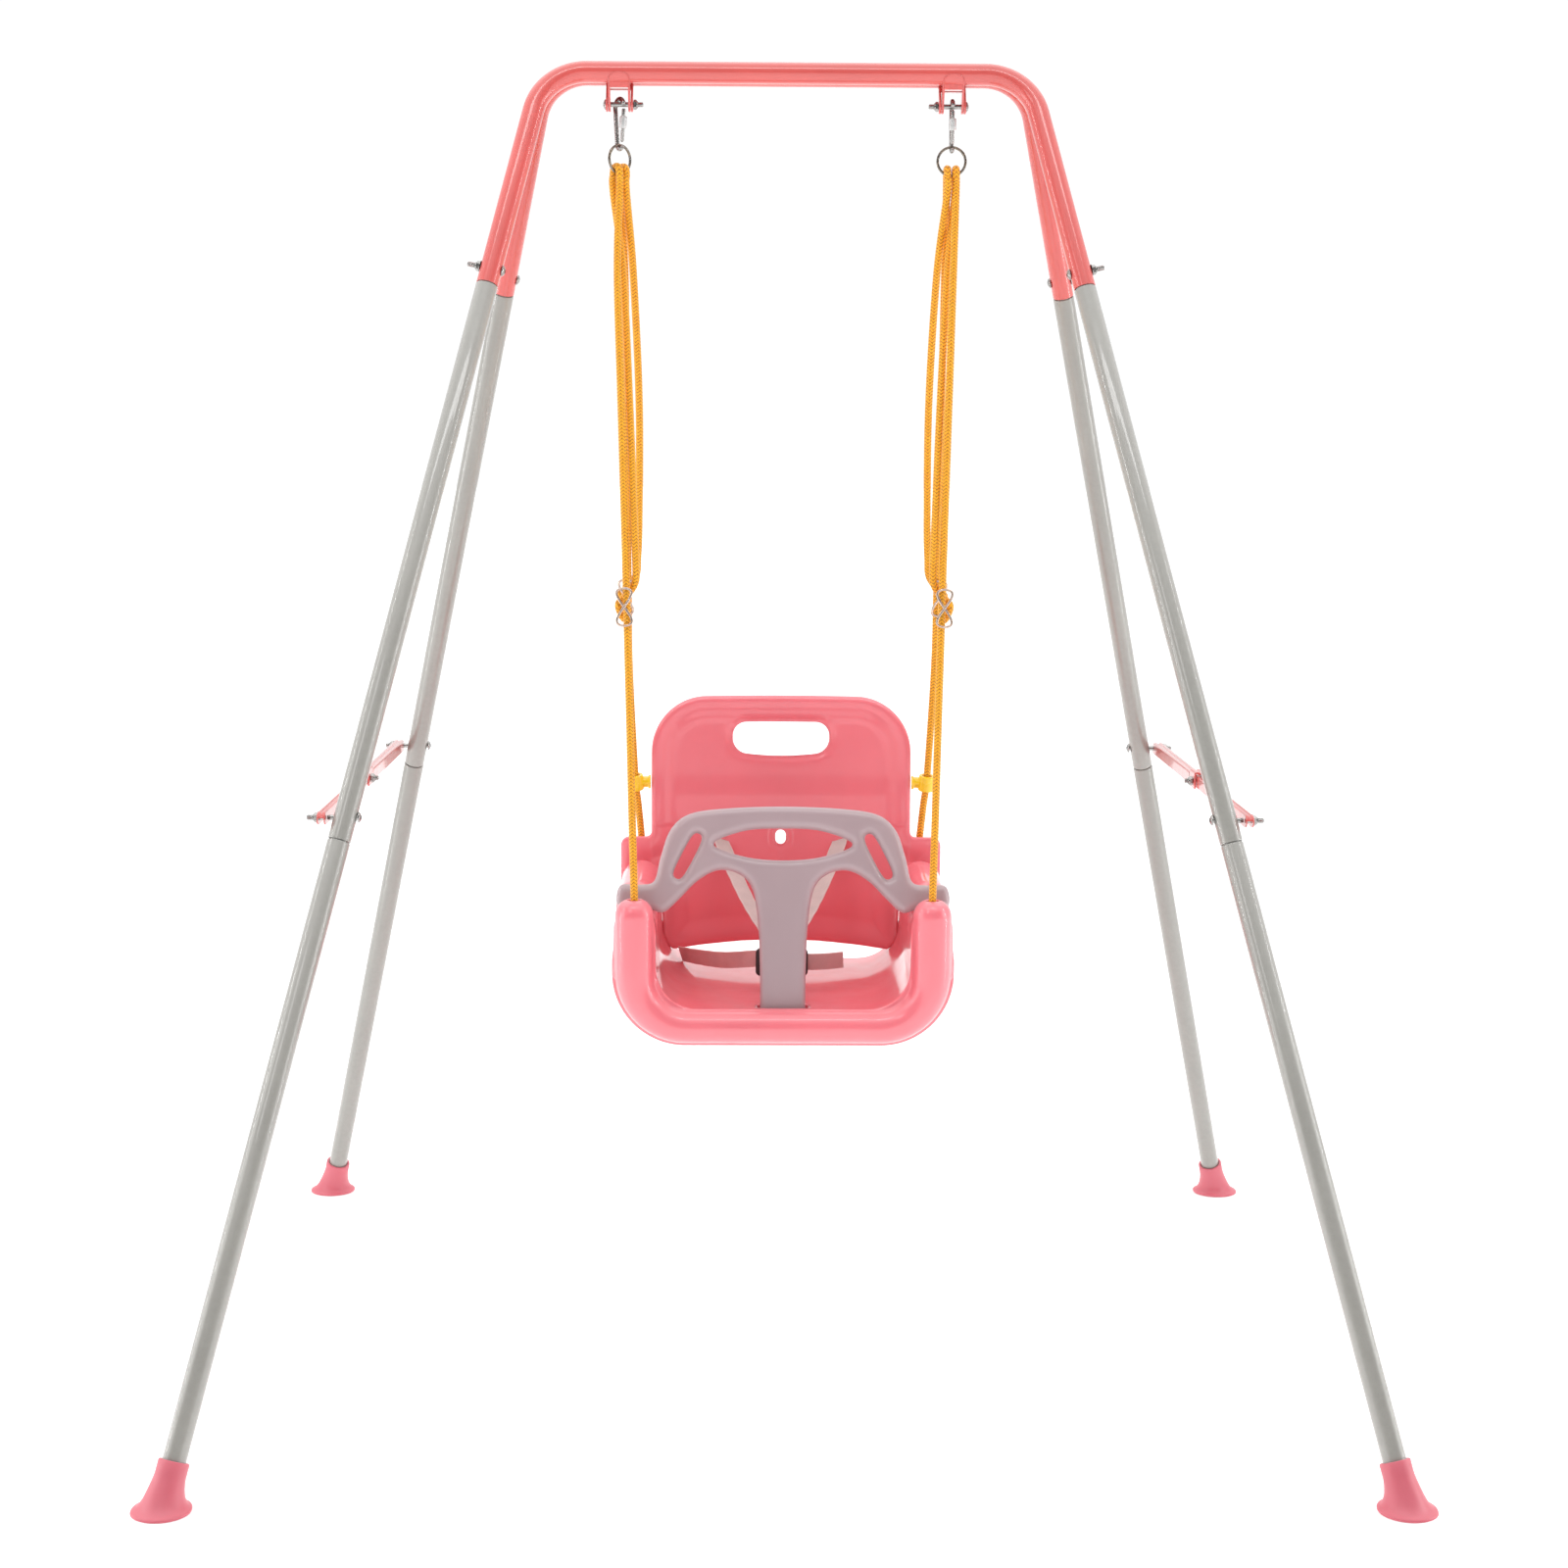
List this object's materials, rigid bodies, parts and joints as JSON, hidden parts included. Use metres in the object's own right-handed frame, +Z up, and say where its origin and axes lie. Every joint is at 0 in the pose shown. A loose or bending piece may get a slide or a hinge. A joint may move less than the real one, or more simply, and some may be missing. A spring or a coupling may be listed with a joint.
{
  "type": "toddler swing set",
  "caption": "Folding A-frame swing for a toddler: bucket seat with guard bar and harness, hung on adjustable ropes.",
  "frame": {"origin": "on the floor, midway between the four feet, under the middle of the top bar", "axes": "+Z up, +X along the top bar, -Y the side a child is lifted in from"},
  "size_m": [1.3318, 1.2194, 1.5081],
  "materials": {
    "frame_pink": "glossy pink powder coat",
    "leg_grey": "satin light grey powder coat",
    "foot_pink": "moulded, satin sheen",
    "seat_pink": "glossy blow-moulded polyethylene",
    "guard_grey": "glossy blow-moulded polyethylene",
    "connector_yellow": "moulded, glossy",
    "rope_yellow": "braided polyethylene rope",
    "steel": "bright zinc plate",
    "webbing": "satin woven webbing",
    "buckle_black": "moulded, matt"
  },
  "bodies": {
    "front_frame": {"front_top_tube": "frame_pink", "upper_leg_front_left": "leg_grey", "lower_leg_front_left": "leg_grey", "foot_front_left": "foot_pink", "hinge_bracket_front_left": "frame_pink", "leg_joint_bolt_front_left": "steel", "brace_front_bolt_left": "steel", "upper_leg_front_right": "leg_grey", "lower_leg_front_right": "leg_grey", "foot_front_right": "foot_pink", "hinge_bracket_front_right": "frame_pink", "leg_joint_bolt_front_right": "steel", "brace_front_bolt_right": "steel", "hinge_bolt_left": "steel", "hinge_bolt_right": "steel"},
    "rear_frame": {"rear_top_tube": "frame_pink", "upper_leg_rear_left": "leg_grey", "lower_leg_rear_left": "leg_grey", "foot_rear_left": "foot_pink", "hinge_bracket_rear_left": "frame_pink", "leg_joint_bolt_rear_left": "steel", "brace_rear_bolt_left": "steel", "upper_leg_rear_right": "leg_grey", "lower_leg_rear_right": "leg_grey", "foot_rear_right": "foot_pink", "hinge_bracket_rear_right": "frame_pink", "leg_joint_bolt_rear_right": "steel", "brace_rear_bolt_right": "steel"},
    "brace_rear_left": {"brace_rear_link_left": "frame_pink", "brace_middle_bolt_left": "steel"},
    "brace_front_left": {"brace_front_link_left": "frame_pink", "brace_front_nut_left": "steel"},
    "brace_rear_right": {"brace_rear_link_right": "frame_pink", "brace_middle_bolt_right": "steel"},
    "brace_front_right": {"brace_front_link_right": "frame_pink", "brace_front_nut_right": "steel"},
    "swing": {"hook_body_left": "steel", "ring_left": "steel", "rope_front_left": "rope_yellow", "rope_rear_left": "rope_yellow", "adjuster_front_left": "steel", "adjuster_rear_left": "steel", "rope_connector_left": "connector_yellow", "shoulder_strap_left": "webbing", "hook_body_right": "steel", "ring_right": "steel", "rope_front_right": "rope_yellow", "rope_rear_right": "rope_yellow", "adjuster_front_right": "steel", "adjuster_rear_right": "steel", "rope_connector_right": "connector_yellow", "shoulder_strap_right": "webbing", "seat_base": "seat_pink", "backrest": "seat_pink", "waist_strap": "webbing", "strap_tail": "webbing", "buckle": "buckle_black"},
    "guard": {"guard_bar": "guard_grey"},
    "hook_gate_left": {"hook_gate_left": "steel"},
    "hook_gate_right": {"hook_gate_right": "steel"}
  },
  "joints": [
    {"name": "frame_fold", "type": "hinge", "parent": "front_frame", "child": "rear_frame", "pos_m": [0, 0, 1.461], "axis": [-1, 0, 0], "range_deg": [0, 37.15]},
    {"name": "brace_rear_left_fold", "type": "hinge", "parent": "rear_frame", "child": "brace_rear_left", "pos_m": [-0.499, 0.32353, 0.67475], "axis": [-1, 0, 0], "range_deg": [0, 61.6]},
    {"name": "brace_front_left_fold", "type": "hinge", "parent": "brace_rear_left", "child": "brace_front_left", "pos_m": [-0.499, 0, 0.67475], "axis": [-1, 0, 0], "range_deg": [-160.2, 0]},
    {"name": "brace_rear_right_fold", "type": "hinge", "parent": "rear_frame", "child": "brace_rear_right", "pos_m": [0.499, 0.32353, 0.67475], "axis": [-1, 0, 0], "range_deg": [0, 61.6]},
    {"name": "brace_front_right_fold", "type": "hinge", "parent": "brace_rear_right", "child": "brace_front_right", "pos_m": [0.499, 0, 0.67475], "axis": [-1, 0, 0], "range_deg": [-160.2, 0]},
    {"name": "swing_hinge", "type": "hinge", "parent": "front_frame", "child": "swing", "pos_m": [0, 0, 1.461], "axis": [1, 0, 0], "range_deg": [-40, 40]},
    {"name": "guard_lift", "type": "slide", "parent": "swing", "child": "guard", "axis": [0, 0.1625, 0.9867], "range_m": [0, 0.12]},
    {"name": "hook_gate_right_hinge", "type": "hinge", "parent": "swing", "child": "hook_gate_right", "pos_m": [0.1925, -0.0059, 1.4203], "axis": [-1, 0, 0], "range_deg": [0, 20], "stiffness_Nm_per_rad": 0.02, "springref_deg": -11.46},
    {"name": "hook_gate_left_hinge", "type": "hinge", "parent": "swing", "child": "hook_gate_left", "pos_m": [-0.18937, -0.005, 1.4203], "axis": [-0.8473, -0.5312, 0], "range_deg": [0, 20], "stiffness_Nm_per_rad": 0.02, "springref_deg": -11.46}
  ],
  "couplings": [
    {"joint": "brace_rear_left_fold", "follows": "frame_fold", "ratio": 1.6532},
    {"joint": "brace_front_left_fold", "follows": "frame_fold", "ratio": -4.3064},
    {"joint": "brace_rear_right_fold", "follows": "frame_fold", "ratio": 1.6532},
    {"joint": "brace_front_right_fold", "follows": "frame_fold", "ratio": -4.3064}
  ]
}
